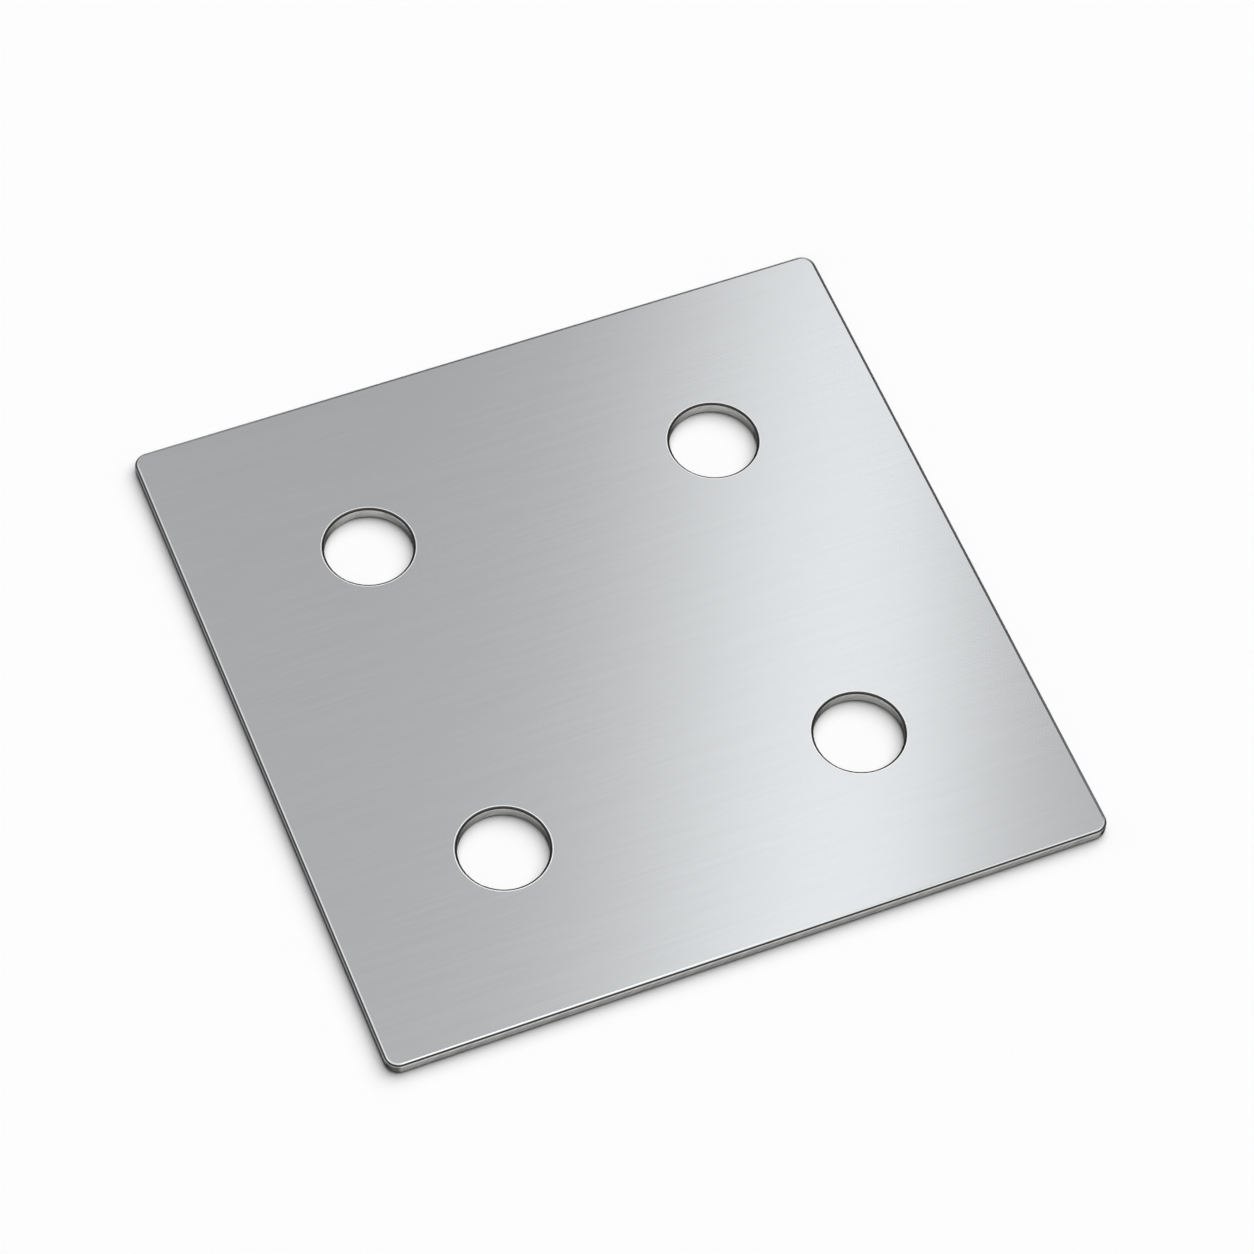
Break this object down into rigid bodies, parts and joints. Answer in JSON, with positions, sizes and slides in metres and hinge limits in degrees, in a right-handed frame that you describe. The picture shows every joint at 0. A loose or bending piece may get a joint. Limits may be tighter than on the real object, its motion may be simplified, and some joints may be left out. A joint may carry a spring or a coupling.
{
  "type": "square plate",
  "caption": "Flat square steel connecting plate with rounded corners, softly rounded edges and a square pattern of round through holes for bolts.",
  "frame": {"origin": "centre of the underside, where the plate lies on the ground", "axes": "+Z is square to the plate and points away from the ground; X and Y run along the plate's sides and through the rows of holes"},
  "size_m": [0.1, 0.1, 0.002],
  "materials": {
    "brushed_steel": "satin"
  },
  "bodies": {
    "root": {"square_plate": "brushed_steel"}
  },
  "joints": []
}
